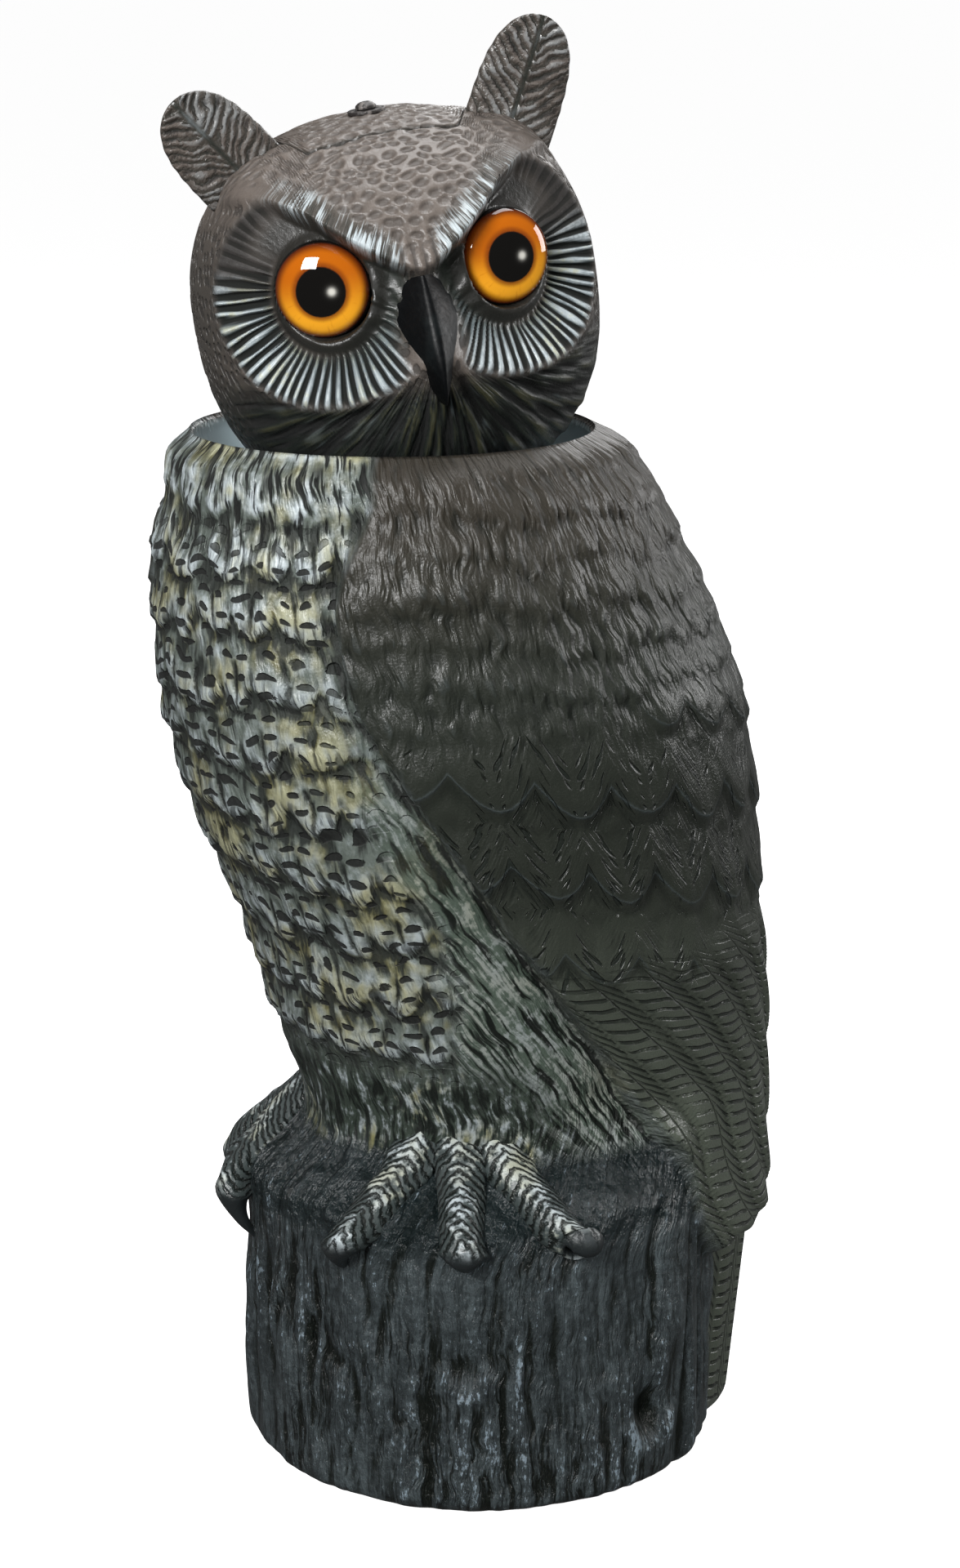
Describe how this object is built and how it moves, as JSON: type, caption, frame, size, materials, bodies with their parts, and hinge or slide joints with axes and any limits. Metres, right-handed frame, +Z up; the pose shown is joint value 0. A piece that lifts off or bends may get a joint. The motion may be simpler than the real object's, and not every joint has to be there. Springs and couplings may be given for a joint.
{
  "type": "owl decoy",
  "caption": "Hollow moulded great horned owl decoy on a stump, with folded wings and tail and a head that turns on a pivot through its crown.",
  "frame": {"origin": "middle of the stump's round underside, on the ground", "axes": "+Z up, the breast towards -Y, the owl's left wing towards +X"},
  "size_m": [0.2314, 0.2772, 0.5976],
  "materials": {
    "body_paint": "satin paint on moulded plastic: brown wings and tail, bluish white and tan breast over dark green, slate stump",
    "head_paint": "satin brown paint on moulded plastic, pale dry-brushed facial discs and a black beak",
    "eye": "clear gloss over an amber iris and a black pupil",
    "hardware": "dark, slightly worn"
  },
  "bodies": {
    "stand": {"body": "body_paint", "pivot_screw": "hardware"},
    "head": {"head_face": "head_paint", "head_back": "head_paint", "eye_left": "eye", "eye_right": "eye", "pivot_washer": "hardware"}
  },
  "joints": [
    {"name": "head_turn", "type": "hinge", "parent": "stand", "child": "head", "pos_m": [0, -0.04, 0.49], "axis": [0, -0.1736, 0.9848], "continuous": true}
  ]
}
